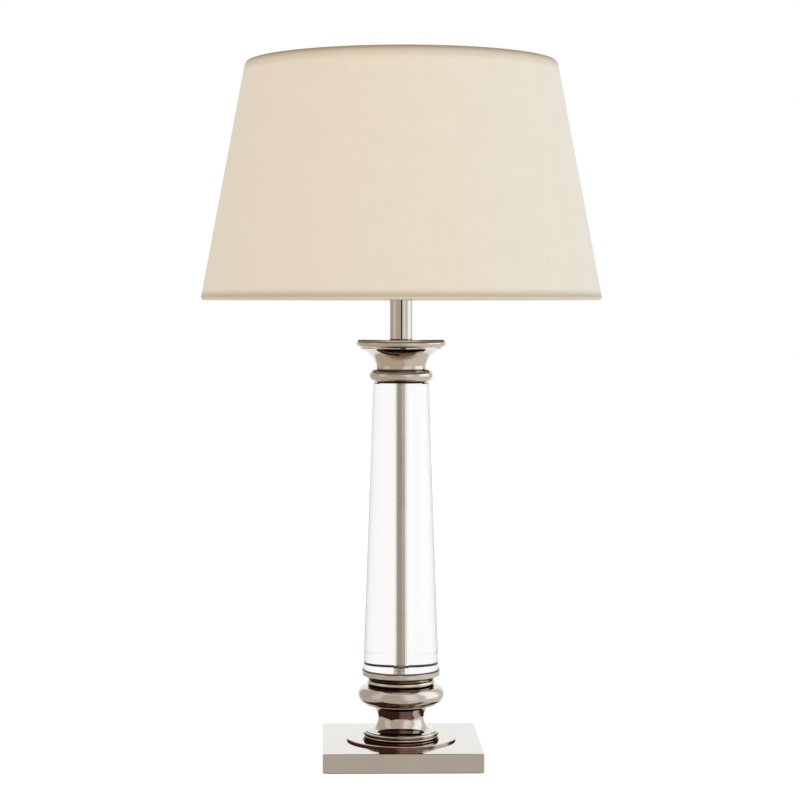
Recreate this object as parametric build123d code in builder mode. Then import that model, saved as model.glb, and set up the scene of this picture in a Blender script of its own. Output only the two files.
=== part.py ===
from build123d import *
import os

# Candlestick table lamp: a square metal base, a turned foot, a tapered crystal column
# clamped on a threaded pipe, a flared capital, a candle tube with its lampholder and bulb,
# and a conical fabric shade on a wire carrier.
# Millimetres, +Z up, origin at the middle of the underside, the viewed front faces -Y.

# ------------------------------------------------------------------ driving dimensions
# Threaded pipe and its fasteners
pipe_radius = 5.0
pipe_wall = 1.0
pipe_clearance = 0.25         # radial, in every piece that is strung on the pipe
pipe_end = 1.0                # pipe showing past its lowest and its highest nut
nut_flats = 17.0
nut_height = 4.0
washer_radius = 15.0
washer_thickness = 2.0

# Base box, what fills it and what closes it
felt_thickness = 1.0
felt_inset = 3.0              # felt edge inside the base edge
base_side = 176.0
base_height = 21.2
base_wall = 3.0
base_corner = 1.5
base_arris = 0.5              # chamfer round the top face
base_skirt_chamfer = 0.8      # chamfer round the lower edge
cover_thickness = 1.5
cover_clearance = 0.3
ballast_thickness = 11.0
ballast_clearance = 1.0
ballast_well_radius = 18.0    # room for the washer and nut
cable_channel_width = 15.0

# Cable outlet bush in the rear wall
cable_radius = 3.2
bush_wall = 1.8
bush_clearance = 0.1
bush_flange = 1.6             # flange proud of the sleeve, radially
bush_flange_thickness = 2.0
bush_headroom = 1.0           # between the inner flange and the base's roof

# Foot disc and two-tier foot flange
disc_radius = 62.0
disc_thickness = 2.5
disc_edge = 0.8
flange_radius = 42.6
flange_upper_height = 3.3
flange_upper_edge = 1.4
flange_lower_radius = 41.8
flange_lower_round = 1.4
flange_groove_height = 0.8
flange_groove_depth = 1.6

# Pedestal: one cove down to the flange, one up to the knop
pedestal_waist_radius = 26.0
pedestal_land = 0.6           # upright edge at the foot and head of the spool
lower_cove_height = 14.3
lower_cove_reach = 14.0
upper_cove_height = 15.6
upper_cove_reach = 14.5
pedestal_hollow_radius = 17.0

# Knop, neck bead and cup under the crystal
knop_radius = 48.7
knop_round = 10.3
knop_hollow_radius = 34.0
bead_radius = 38.2
bead_round = 3.5
cup_radius = 44.2
cup_foot_radius = 38.5
cup_height = 9.5
cup_rim_height = 5.0
cup_ovolo_rise = 0.9          # how far the underside bulges from a straight bevel
cup_arris = 0.4
turned_roof = 4.0             # metal left under the top face of each hollow turned piece

# Crystal column and its seat rings
crystal_height = 322.6
crystal_bottom_radius = 42.3
crystal_top_radius = 31.2
crystal_chamfer = 0.8
crystal_bore_clearance = 0.6
seat_thickness = 1.0
lower_seat_sink = 0.8         # lower seat ring let into the cup
lower_seat_radius = 38.0
upper_seat_radius = 27.0
seat_clearance = 0.2

# Capital ring and flared capital
ring_radius = 36.0
ring_height = 14.6
capital_neck_radius = 28.0
capital_neck_height = 3.6
capital_cove_height = 19.3
capital_cove_sagitta = 3.5
capital_quirk = 1.2
capital_radius = 50.8
capital_lip_round = 4.5
capital_hollow_foot_radius = 21.0
capital_hollow_head_radius = 38.0

# Candle tube
candle_radius = 12.75
candle_wall = 1.0
candle_height = 56.6

# Lampholder
holder_neck_radius = 14.0
holder_radius = 21.5
holder_floor = 3.0
holder_wall = 3.5
holder_ledge = 2.5            # shelf under the contact block
holder_shoulder = 13.0
holder_depth = 20.0
block_thickness = 6.0
block_clearance = 0.2
block_boss_radius = 8.0
block_boss_height = 1.5
skirt_radius = 19.8
skirt_wall = 3.3
skirt_height = 39.0
skirt_lip = 2.0
sleeve_wall = 0.4
sleeve_height = 27.0
sleeve_flange = 1.6
sleeve_flange_thickness = 0.8
contact_width = 6.0
contact_strip = 0.5
contact_reach = 6.0
terminal_spacing = 24.0
terminal_head_radius = 2.6
terminal_head_height = 1.8
terminal_shank_radius = 1.5
terminal_shank_length = 4.0

# Push-through switch bar in the lampholder
switch_radius = 2.5
switch_travel = 5.0
switch_proud = 4.0            # least length that stands out of the holder on either side
switch_clearance = 0.1
switch_gap = 1.5              # above the pipe's end
switch_end_chamfer = 0.8

# Bulb
bulb_cap_radius = 13.0
bulb_cap_wall = 0.5
bulb_cap_height = 25.0
bulb_cap_clearance = 0.3
bulb_contact_radius = 4.5
bulb_contact_height = 1.2
bulb_insulator_height = 2.5
bulb_insulator_radius = 10.0
bulb_contact_clearance = 0.3
bulb_neck_radius = 12.2
bulb_neck_depth = 3.0         # glass sunk in the cap
bulb_radius = 17.5
bulb_height = 71.0            # glass above the cap
bulb_shoulder = 27.0          # widest place above the cap
bulb_tip_round = 6.0
bulb_glass_wall = 1.0

# Shade rings and wire carrier
shade_ring_radius = 28.5
shade_ring_height = 7.0
shade_ring_flange = 2.0
shade_ring_body_radius = 25.5
shade_ring_clearance = 0.1
shade_ring_grips = 12
shade_ring_grip_radius = 1.4
shade_ring_level = 6.0        # lower ring above the skirt's foot
hub_radius = 31.0
hub_thickness = 1.5
hub_clearance = 0.8
wire_radius = 1.6
arm_count = 3
arm_first_angle = 90.0
weld_gap = 0.2

# Shade
shade_bottom_radius = 225.0
shade_top_radius = 175.0
shade_height = 265.0
shade_drop = 51.9             # shade's lower edge below the carrier hub
hem_thickness = 0.5
hem_height = 9.0
fabric_thickness = 0.5
liner_thickness = 0.8
wire_clearance = 0.2

# ------------------------------------------------------------------ levels, from the floor up
base_bottom = felt_thickness
base_top = base_bottom + base_height
base_roof = base_top - base_wall
lower_nut_bottom = base_roof - washer_thickness - nut_height
pipe_bottom = lower_nut_bottom - pipe_end
disc_top = base_top + disc_thickness
flange_lower_height = 2 * flange_lower_round
flange_height = flange_lower_height + flange_groove_height + flange_upper_height
flange_top = disc_top + flange_height
waist_level = flange_top + pedestal_land + lower_cove_height
pedestal_top = waist_level + upper_cove_height + pedestal_land
knop_top = pedestal_top + 2 * knop_round
bead_top = knop_top + 2 * bead_round
cup_top = bead_top + cup_height
crystal_bottom = cup_top - lower_seat_sink + seat_thickness
crystal_top = crystal_bottom + crystal_height
ring_bottom = crystal_top + seat_thickness
ring_top = ring_bottom + ring_height
capital_lip_bottom = ring_top + capital_neck_height + capital_cove_height + capital_quirk
capital_top = capital_lip_bottom + 2 * capital_lip_round
candle_top = capital_top + candle_height
holder_bottom = candle_top
holder_cavity = holder_bottom + holder_floor
pipe_top = holder_cavity + nut_height + pipe_end
switch_level = pipe_top + switch_gap + switch_radius
holder_top = holder_bottom + holder_depth + block_thickness
block_bottom = holder_top - block_thickness
bulb_contact_bottom = holder_top + contact_reach + bulb_contact_clearance
insulator_bottom = bulb_contact_bottom + bulb_contact_height
bulb_cap_bottom = insulator_bottom + bulb_insulator_height
bulb_cap_top = bulb_cap_bottom + bulb_cap_height
lower_ring_bottom = holder_top + shade_ring_level
hub_bottom = lower_ring_bottom + shade_ring_height
hub_top = hub_bottom + hub_thickness
shade_bottom = hub_bottom - shade_drop
shade_top = shade_bottom + shade_height

# ------------------------------------------------------------------ widths that follow
strung_bore = pipe_radius + pipe_clearance
crystal_bore = pipe_radius + crystal_bore_clearance
base_cavity = base_side - 2 * base_wall
bush_sleeve = cable_radius + bush_wall
bush_rim = bush_sleeve + bush_flange
bush_level = base_roof - bush_headroom - bush_rim
holder_bore = holder_radius - holder_wall
holder_ledge_bore = holder_bore - holder_ledge
skirt_bore = skirt_radius - skirt_wall
sleeve_bore = bulb_cap_radius + bulb_cap_clearance
shade_ring_bore = skirt_radius + shade_ring_clearance
shade_slope = (shade_bottom_radius - shade_top_radius) / shade_height
cloth_inset = hem_thickness + fabric_thickness
liner_inset = cloth_inset + liner_thickness


def shade_radius(level, inset):
    """Radius of the shade's cone at a level, less what lies outside it."""
    return shade_bottom_radius - shade_slope * (level - shade_bottom) - inset


def finish(piece, name):
    """Label one finished piece and write it to its own file."""
    piece.label = name
    export_step(piece, f"parts/{name}.step")


os.makedirs("parts", exist_ok=True)

# ------------------------------------------------------------------ base
with BuildPart() as felt_pad:
    with BuildSketch():
        RectangleRounded(base_side - 2 * felt_inset, base_side - 2 * felt_inset, felt_inset)
    extrude(amount=felt_thickness)
finish(felt_pad.part, "felt_pad")

with BuildPart() as base_box:
    with BuildSketch(Plane.XY.offset(base_bottom)):
        RectangleRounded(base_side, base_side, base_corner)
    extrude(amount=base_height)
    chamfer(base_box.faces().sort_by(Axis.Z)[-1].edges(), length=base_arris)
    chamfer(base_box.faces().sort_by(Axis.Z)[0].edges(), length=base_skirt_chamfer)
    with BuildSketch(Plane.XY.offset(base_bottom)):
        Rectangle(base_cavity, base_cavity)
    extrude(amount=base_height - base_wall, mode=Mode.SUBTRACT)
    with BuildSketch(Plane.XY.offset(base_roof)):
        Circle(strung_bore)
    extrude(amount=base_wall, mode=Mode.SUBTRACT)
    with BuildSketch(Plane.XZ.offset(-base_side / 2)):
        with Locations((0, bush_level)):
            Circle(bush_sleeve + bush_clearance)
    extrude(amount=base_wall, mode=Mode.SUBTRACT)
finish(base_box.part, "base_box")

with BuildPart() as base_cover:
    with BuildSketch(Plane.XY.offset(base_bottom)):
        Rectangle(base_cavity - 2 * cover_clearance, base_cavity - 2 * cover_clearance)
    extrude(amount=cover_thickness)
finish(base_cover.part, "base_cover")

with BuildPart() as ballast_plate:
    ballast_side = base_cavity - 2 * ballast_clearance
    with BuildSketch(Plane.XY.offset(base_roof - ballast_thickness)):
        Rectangle(ballast_side, ballast_side)
        Circle(ballast_well_radius, mode=Mode.SUBTRACT)
        with Locations((0, ballast_side / 4)):
            Rectangle(cable_channel_width, ballast_side / 2, mode=Mode.SUBTRACT)
    extrude(amount=ballast_thickness)
finish(ballast_plate.part, "ballast_plate")

with BuildPart() as cable_bush:
    bush_plane = Plane(origin=(0, base_side / 2, bush_level), x_dir=(1, 0, 0), z_dir=(0, 1, 0))
    with BuildSketch(bush_plane.offset(-base_wall)):
        Circle(bush_sleeve)
    extrude(amount=base_wall)
    with BuildSketch(bush_plane, bush_plane.offset(-base_wall - bush_flange_thickness)):
        Circle(bush_rim)
    extrude(amount=bush_flange_thickness)
    with BuildSketch(bush_plane.offset(-base_wall - bush_flange_thickness)):
        Circle(cable_radius)
    extrude(amount=base_wall + 2 * bush_flange_thickness, mode=Mode.SUBTRACT)
finish(cable_bush.part, "cable_bush")

# ------------------------------------------------------------------ pipe, nuts and washer
with BuildPart() as centre_pipe:
    with BuildSketch(Plane.XY.offset(pipe_bottom)):
        Circle(pipe_radius)
        Circle(pipe_radius - pipe_wall, mode=Mode.SUBTRACT)
    extrude(amount=pipe_top - pipe_bottom)
finish(centre_pipe.part, "centre_pipe")

with BuildPart() as pipe_nuts:
    for nut_level in (lower_nut_bottom, capital_top, holder_cavity):
        with BuildSketch(Plane.XY.offset(nut_level)):
            RegularPolygon(nut_flats / 2, 6, major_radius=False)
            Circle(pipe_radius, mode=Mode.SUBTRACT)
        extrude(amount=nut_height)
finish(pipe_nuts.part, "pipe_nuts")

with BuildPart() as base_washer:
    with BuildSketch(Plane.XY.offset(base_roof - washer_thickness)):
        Circle(washer_radius)
        Circle(strung_bore, mode=Mode.SUBTRACT)
    extrude(amount=washer_thickness)
finish(base_washer.part, "base_washer")

# ------------------------------------------------------------------ turned foot
with BuildPart() as foot_disc:
    with BuildSketch(Plane.XY.offset(base_top)):
        Circle(disc_radius)
        Circle(strung_bore, mode=Mode.SUBTRACT)
    extrude(amount=disc_thickness)
    disc_rim = foot_disc.edges().filter_by(GeomType.CIRCLE).sort_by(SortBy.RADIUS)[-2:]
    fillet(disc_rim.sort_by(Axis.Z)[-1], radius=disc_edge)
finish(foot_disc.part, "foot_disc")

with BuildPart() as foot_flange:
    groove_radius = flange_lower_radius - flange_groove_depth
    groove_bottom = disc_top + flange_lower_height
    groove_top = groove_bottom + flange_groove_height
    with BuildSketch(Plane.XZ):
        with BuildLine():
            tier_round = CenterArc(
                (flange_lower_radius - flange_lower_round, disc_top + flange_lower_round),
                flange_lower_round, -90, 180,
            )
            top_round = CenterArc(
                (flange_radius - flange_upper_edge, flange_top - flange_upper_edge),
                flange_upper_edge, 0, 90,
            )
            Polyline(
                tier_round @ 1,
                (groove_radius, groove_bottom),
                (groove_radius, groove_top),
                (flange_radius, groove_top),
                top_round @ 0,
            )
            Polyline(
                top_round @ 1,
                (strung_bore, flange_top),
                (strung_bore, disc_top),
                tier_round @ 0,
            )
        make_face()
    revolve(axis=Axis.Z)
finish(foot_flange.part, "foot_flange")

with BuildPart() as pedestal:
    pedestal_foot_radius = pedestal_waist_radius + lower_cove_reach
    pedestal_head_radius = pedestal_waist_radius + upper_cove_reach
    with BuildSketch(Plane.XZ):
        with BuildLine():
            lower_cove = EllipticalCenterArc(
                (pedestal_foot_radius, waist_level),
                lower_cove_reach, lower_cove_height, 180, arc_size=90,
            )
            upper_cove = EllipticalCenterArc(
                (pedestal_head_radius, waist_level),
                upper_cove_reach, upper_cove_height, 90, arc_size=90,
            )
            Polyline(
                (pedestal_foot_radius, waist_level - lower_cove_height),
                (pedestal_foot_radius, flange_top),
                (strung_bore, flange_top),
                (strung_bore, pedestal_top),
                (pedestal_head_radius, pedestal_top),
                (pedestal_head_radius, waist_level + upper_cove_height),
            )
        make_face()
    revolve(axis=Axis.Z)
    with BuildSketch(Plane.XY.offset(flange_top)):
        Circle(pedestal_hollow_radius)
    extrude(amount=pedestal_top - flange_top - turned_roof, mode=Mode.SUBTRACT)
finish(pedestal.part, "pedestal")

with BuildPart() as knop:
    with BuildSketch(Plane.XZ):
        with BuildLine():
            knop_arc = CenterArc(
                (knop_radius - knop_round, pedestal_top + knop_round), knop_round, -90, 180
            )
            Polyline(knop_arc @ 1, (strung_bore, knop_top), (strung_bore, pedestal_top), knop_arc @ 0)
        make_face()
    revolve(axis=Axis.Z)
    with BuildSketch(Plane.XY.offset(pedestal_top)):
        Circle(knop_hollow_radius)
    extrude(amount=2 * knop_round - turned_roof, mode=Mode.SUBTRACT)
finish(knop.part, "knop")

with BuildPart() as neck_bead:
    with BuildSketch(Plane.XZ):
        with BuildLine():
            bead_arc = CenterArc(
                (bead_radius - bead_round, knop_top + bead_round), bead_round, -90, 180
            )
            Polyline(bead_arc @ 1, (strung_bore, bead_top), (strung_bore, knop_top), bead_arc @ 0)
        make_face()
    revolve(axis=Axis.Z)
finish(neck_bead.part, "neck_bead")

with BuildPart() as cup:
    with BuildSketch(Plane.XZ):
        with BuildLine():
            ovolo = SagittaArc(
                (cup_foot_radius, bead_top), (cup_radius, cup_top - cup_rim_height), cup_ovolo_rise
            )
            Polyline(
                ovolo @ 1,
                (cup_radius, cup_top - cup_arris),
                (cup_radius - cup_arris, cup_top),
                (lower_seat_radius + seat_clearance, cup_top),
                (lower_seat_radius + seat_clearance, cup_top - lower_seat_sink),
                (strung_bore, cup_top - lower_seat_sink),
                (strung_bore, bead_top),
                ovolo @ 0,
            )
        make_face()
    revolve(axis=Axis.Z)
finish(cup.part, "cup")

# ------------------------------------------------------------------ crystal column
with BuildPart() as lower_seat_ring:
    with BuildSketch(Plane.XY.offset(crystal_bottom - seat_thickness)):
        Circle(lower_seat_radius)
        Circle(crystal_bore, mode=Mode.SUBTRACT)
    extrude(amount=seat_thickness)
finish(lower_seat_ring.part, "lower_seat_ring")

with BuildPart() as crystal_column:
    with BuildSketch(Plane.XZ):
        with BuildLine():
            Polyline(
                (crystal_bore, crystal_bottom),
                (crystal_bottom_radius - crystal_chamfer, crystal_bottom),
                (crystal_bottom_radius, crystal_bottom + crystal_chamfer),
                (crystal_top_radius, crystal_top - crystal_chamfer),
                (crystal_top_radius - crystal_chamfer, crystal_top),
                (crystal_bore, crystal_top),
                close=True,
            )
        make_face()
    revolve(axis=Axis.Z)
finish(crystal_column.part, "crystal_column")

with BuildPart() as upper_seat_ring:
    with BuildSketch(Plane.XY.offset(crystal_top)):
        Circle(upper_seat_radius)
        Circle(crystal_bore, mode=Mode.SUBTRACT)
    extrude(amount=seat_thickness)
finish(upper_seat_ring.part, "upper_seat_ring")

# ------------------------------------------------------------------ capital and candle tube
with BuildPart() as capital_ring:
    ring_round = ring_height / 2
    with BuildSketch(Plane.XZ):
        with BuildLine():
            ring_arc = CenterArc((ring_radius - ring_round, ring_bottom + ring_round), ring_round, -90, 180)
            Polyline(ring_arc @ 1, (strung_bore, ring_top), (strung_bore, ring_bottom), ring_arc @ 0)
        make_face()
    revolve(axis=Axis.Z)
finish(capital_ring.part, "capital_ring")

with BuildPart() as capital:
    capital_cove_start = (capital_neck_radius, ring_top + capital_neck_height)
    lip_centre_radius = capital_radius - capital_lip_round
    lip_centre = (lip_centre_radius, capital_lip_bottom + capital_lip_round)
    capital_cove_end = (lip_centre_radius, capital_lip_bottom - capital_quirk)
    with BuildSketch(Plane.XZ):
        with BuildLine():
            lip_arc = CenterArc(lip_centre, capital_lip_round, -90, 180)
            cove_arc = SagittaArc(capital_cove_start, capital_cove_end, capital_cove_sagitta)
            Line(cove_arc @ 1, lip_arc @ 0)
            Polyline(
                lip_arc @ 1,
                (strung_bore, capital_top),
                (strung_bore, ring_top),
                (capital_neck_radius, ring_top),
                cove_arc @ 0,
            )
        make_face()
    revolve(axis=Axis.Z)
    with BuildSketch(Plane.XY.offset(ring_top)):
        Circle(capital_hollow_foot_radius)
    with BuildSketch(Plane.XY.offset(capital_top - turned_roof)):
        Circle(capital_hollow_head_radius)
    loft(ruled=True, mode=Mode.SUBTRACT)
finish(capital.part, "capital")

with BuildPart() as candle_tube:
    with BuildSketch(Plane.XY.offset(capital_top)):
        Circle(candle_radius)
        Circle(candle_radius - candle_wall, mode=Mode.SUBTRACT)
    extrude(amount=candle_height)
finish(candle_tube.part, "candle_tube")

# ------------------------------------------------------------------ lampholder
with BuildPart() as holder_cap:
    with BuildSketch(Plane.XZ):
        with BuildLine():
            shoulder = EllipticalCenterArc(
                (holder_neck_radius, holder_bottom + holder_shoulder),
                holder_radius - holder_neck_radius, holder_shoulder, -90, arc_size=90,
            )
            Polyline(
                (holder_radius, holder_bottom + holder_shoulder),
                (holder_radius, holder_top),
                (holder_bore, holder_top),
                (holder_bore, block_bottom),
                (holder_ledge_bore, block_bottom),
                (holder_ledge_bore, switch_level - switch_radius),
                (holder_neck_radius - holder_floor, holder_cavity),
                (strung_bore, holder_cavity),
                (strung_bore, holder_bottom),
                (holder_neck_radius, holder_bottom),
            )
        make_face()
    revolve(axis=Axis.Z)
    with BuildSketch(Plane.YZ.offset(-holder_radius)):
        with Locations((0, switch_level)):
            Circle(switch_radius + switch_clearance)
    extrude(amount=2 * holder_radius, mode=Mode.SUBTRACT)
finish(holder_cap.part, "holder_cap")

with BuildPart() as contact_block:
    with BuildSketch(Plane.XY.offset(block_bottom)):
        Circle(holder_bore - block_clearance)
    extrude(amount=block_thickness)
    with BuildSketch(Plane.XY.offset(holder_top)):
        Circle(block_boss_radius)
    extrude(amount=block_boss_height)
    with BuildSketch(Plane.XY.offset(block_bottom)):
        with Locations((0, terminal_spacing / 2), (0, -terminal_spacing / 2)):
            Circle(terminal_shank_radius + block_clearance)
    extrude(amount=terminal_shank_length + block_clearance, mode=Mode.SUBTRACT)
finish(contact_block.part, "contact_block")

with BuildPart() as terminal_screws:
    with BuildSketch(Plane.XY.offset(block_bottom - terminal_head_height)):
        with Locations((0, terminal_spacing / 2), (0, -terminal_spacing / 2)):
            Circle(terminal_head_radius)
    extrude(amount=terminal_head_height)
    with BuildSketch(Plane.XY.offset(block_bottom)):
        with Locations((0, terminal_spacing / 2), (0, -terminal_spacing / 2)):
            Circle(terminal_shank_radius)
    extrude(amount=terminal_shank_length)
finish(terminal_screws.part, "terminal_screws")

with BuildPart() as thread_sleeve:
    sleeve_outer = sleeve_bore + sleeve_wall
    with BuildSketch(Plane.XY.offset(holder_top)):
        Circle(sleeve_outer + sleeve_flange)
    extrude(amount=sleeve_flange_thickness)
    with BuildSketch(Plane.XY.offset(holder_top)):
        Circle(sleeve_outer)
    extrude(amount=sleeve_height)
    with BuildSketch(Plane.XY.offset(holder_top)):
        Circle(sleeve_bore)
    extrude(amount=sleeve_height, mode=Mode.SUBTRACT)
finish(thread_sleeve.part, "thread_sleeve")

with BuildPart() as centre_contact:
    strip_bottom = holder_top + block_boss_height
    strip_top = holder_top + contact_reach
    strip_half = block_boss_radius - sleeve_flange
    with BuildSketch(Plane.XZ.offset(-contact_width / 2)):
        with BuildLine():
            Polyline(
                (-strip_half, strip_bottom),
                (0, strip_bottom),
                (strip_half, strip_top - contact_strip),
                (strip_half, strip_top),
                (strip_half - contact_strip, strip_top),
                (-contact_strip, strip_bottom + contact_strip),
                (-strip_half, strip_bottom + contact_strip),
                close=True,
            )
        make_face()
    extrude(amount=contact_width)
finish(centre_contact.part, "centre_contact")

with BuildPart() as holder_skirt:
    with BuildSketch(Plane.XY.offset(holder_top)):
        Circle(skirt_radius)
        Circle(skirt_bore, mode=Mode.SUBTRACT)
    extrude(amount=skirt_height)
    skirt_mouth = holder_skirt.edges().filter_by(GeomType.CIRCLE).group_by(Axis.Z)[-1]
    chamfer(skirt_mouth.sort_by(SortBy.RADIUS)[-1], length=skirt_lip / 2)
finish(holder_skirt.part, "holder_skirt")

with BuildPart() as switch_bar:
    bar_length = 2 * holder_radius + 2 * switch_proud + switch_travel
    bar_start = -holder_radius - switch_proud - switch_travel
    with BuildSketch(Plane.YZ.offset(bar_start)):
        with Locations((0, switch_level)):
            Circle(switch_radius)
    extrude(amount=bar_length)
    chamfer(switch_bar.edges().filter_by(GeomType.CIRCLE), length=switch_end_chamfer)
finish(switch_bar.part, "switch_bar")

# ------------------------------------------------------------------ bulb
with BuildPart() as bulb_contact:
    with BuildSketch(Plane.XY.offset(bulb_contact_bottom)):
        Circle(bulb_contact_radius)
    extrude(amount=bulb_contact_height)
finish(bulb_contact.part, "bulb_contact")

with BuildPart() as bulb_insulator:
    with BuildSketch(Plane.XY.offset(insulator_bottom)):
        Circle(bulb_contact_radius)
    with BuildSketch(Plane.XY.offset(bulb_cap_bottom)):
        Circle(bulb_insulator_radius)
    loft(ruled=True)
finish(bulb_insulator.part, "bulb_insulator")

with BuildPart() as bulb_cap:
    with BuildSketch(Plane.XY.offset(bulb_cap_bottom)):
        Circle(bulb_cap_radius)
    extrude(amount=bulb_cap_height)
    fillet(bulb_cap.edges().group_by(Axis.Z)[0], radius=bulb_cap_radius - bulb_insulator_radius)
    with BuildSketch(Plane.XY.offset(bulb_cap_top)):
        Circle(bulb_cap_radius - bulb_cap_wall)
    extrude(amount=bulb_insulator_height + bulb_neck_depth - bulb_cap_height, mode=Mode.SUBTRACT)
finish(bulb_cap.part, "bulb_cap")


def bulb_side(inset):
    """One face of the bulb's glass, from its foot to its crown, as a half outline."""
    shoulder_level = bulb_cap_top + bulb_shoulder
    crown_level = bulb_cap_top + bulb_height
    lift = bulb_height - bulb_shoulder - bulb_tip_round
    flame_round = (bulb_radius**2 + lift**2 - bulb_tip_round**2) / (2 * (bulb_radius - bulb_tip_round))
    flame_centre = Vector(bulb_radius - flame_round, shoulder_level)
    tip_centre = Vector(0, crown_level - bulb_tip_round)
    tip_start = tip_centre + (tip_centre - flame_centre).normalized() * (bulb_tip_round - inset)
    foot = (bulb_neck_radius - inset, bulb_cap_top - bulb_neck_depth)
    neck = Line(foot, (bulb_neck_radius - inset, bulb_cap_top))
    TangentArc((bulb_radius - inset, shoulder_level), neck @ 1, tangent=(0, -1))
    flame = TangentArc((bulb_radius - inset, shoulder_level), tip_start, tangent=(0, 1))
    tip = TangentArc(flame @ 1, (0, crown_level - inset), tangent=flame % 1)
    return neck @ 0, tip @ 1


with BuildPart() as bulb_glass:
    with BuildSketch(Plane.XZ):
        with BuildLine():
            outer_foot, outer_crown = bulb_side(0)
            inner_foot, inner_crown = bulb_side(bulb_glass_wall)
            Line(outer_foot, inner_foot)
            Line(outer_crown, inner_crown)
        make_face()
    revolve(axis=Axis.Z)
finish(bulb_glass.part, "bulb_glass")


# ------------------------------------------------------------------ shade rings
def ring_nut(foot, flange_foot):
    """A threaded ring nut for the skirt: a gripped barrel with a wider flange."""
    with BuildPart() as nut:
        with BuildSketch(Plane.XY.offset(foot)):
            Circle(shade_ring_body_radius)
            with PolarLocations(shade_ring_body_radius, shade_ring_grips):
                Circle(shade_ring_grip_radius, mode=Mode.SUBTRACT)
        extrude(amount=shade_ring_height)
        with BuildSketch(Plane.XY.offset(flange_foot)):
            Circle(shade_ring_radius)
        extrude(amount=shade_ring_flange)
        with BuildSketch(Plane.XY.offset(foot)):
            Circle(shade_ring_bore)
        extrude(amount=shade_ring_height, mode=Mode.SUBTRACT)
    return nut.part


finish(ring_nut(lower_ring_bottom, hub_bottom - shade_ring_flange), "lower_shade_ring")
finish(ring_nut(hub_top, hub_top), "upper_shade_ring")

# ------------------------------------------------------------------ shade carrier
bottom_wire_level = shade_bottom + hem_thickness + wire_radius
top_wire_level = shade_top - hem_thickness - wire_radius
wire_inset = liner_inset + wire_clearance + wire_radius
bottom_wire_radius = shade_radius(bottom_wire_level + wire_radius, wire_inset)
top_wire_radius = shade_radius(top_wire_level + wire_radius, wire_inset)

with BuildPart() as carrier_hub:
    with BuildSketch(Plane.XY.offset(hub_bottom)):
        Circle(hub_radius)
        Circle(skirt_radius + hub_clearance, mode=Mode.SUBTRACT)
    extrude(amount=hub_thickness)
finish(carrier_hub.part, "carrier_hub")

with BuildPart() as carrier_arms:
    for arm in range(arm_count):
        arm_angle = arm_first_angle + arm * 360 / arm_count
        hub_end = Vector(hub_radius + wire_radius / 2, 0, hub_bottom + hub_thickness / 2)
        ring_end = Vector(bottom_wire_radius, 0, bottom_wire_level)
        arm_axis = (ring_end - hub_end).normalized()
        arm_length = (ring_end - hub_end).length - wire_radius - weld_gap
        arm_foot = hub_end.rotate(Axis.Z, arm_angle)
        with BuildSketch(Plane(origin=arm_foot, z_dir=arm_axis.rotate(Axis.Z, arm_angle))):
            Circle(wire_radius)
        extrude(amount=arm_length)
finish(carrier_arms.part, "carrier_arms")

with BuildPart() as shade_bottom_wire:
    with BuildSketch(Plane.XZ):
        with Locations((bottom_wire_radius, bottom_wire_level)):
            Circle(wire_radius)
    revolve(axis=Axis.Z)
finish(shade_bottom_wire.part, "shade_bottom_wire")

with BuildPart() as shade_top_wire:
    with BuildSketch(Plane.XZ):
        with Locations((top_wire_radius, top_wire_level)):
            Circle(wire_radius)
    revolve(axis=Axis.Z)
finish(shade_top_wire.part, "shade_top_wire")


# ------------------------------------------------------------------ shade skin
def cone_band(low, high, outer_inset, inner_inset):
    """Section of a conical band of the shade, between two levels and two insets."""
    with BuildSketch(Plane.XZ) as band:
        with BuildLine():
            Polyline(
                (shade_radius(low, outer_inset), low),
                (shade_radius(high, outer_inset), high),
                (shade_radius(high, inner_inset), high),
                (shade_radius(low, inner_inset), low),
                close=True,
            )
        make_face()
    return band.sketch


skin_bottom = shade_bottom + hem_thickness
skin_top = shade_top - hem_thickness
hem_inset = wire_inset + wire_radius

with BuildPart() as shade_liner:
    revolve(cone_band(skin_bottom, skin_top, cloth_inset, liner_inset), axis=Axis.Z)
finish(shade_liner.part, "shade_liner")

with BuildPart() as shade_fabric:
    revolve(cone_band(skin_bottom, skin_top, hem_thickness, cloth_inset), axis=Axis.Z)
finish(shade_fabric.part, "shade_fabric")

with BuildPart() as shade_bottom_hem:
    revolve(cone_band(shade_bottom, skin_bottom, 0, hem_inset), axis=Axis.Z)
    revolve(cone_band(skin_bottom, shade_bottom + hem_height, 0, hem_thickness), axis=Axis.Z)
finish(shade_bottom_hem.part, "shade_bottom_hem")

with BuildPart() as shade_top_hem:
    revolve(cone_band(skin_top, shade_top, 0, hem_inset), axis=Axis.Z)
    revolve(cone_band(shade_top - hem_height, skin_top, 0, hem_thickness), axis=Axis.Z)
finish(shade_top_hem.part, "shade_top_hem")
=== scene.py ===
import math

import bmesh
import bpy
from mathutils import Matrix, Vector, noise


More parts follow.
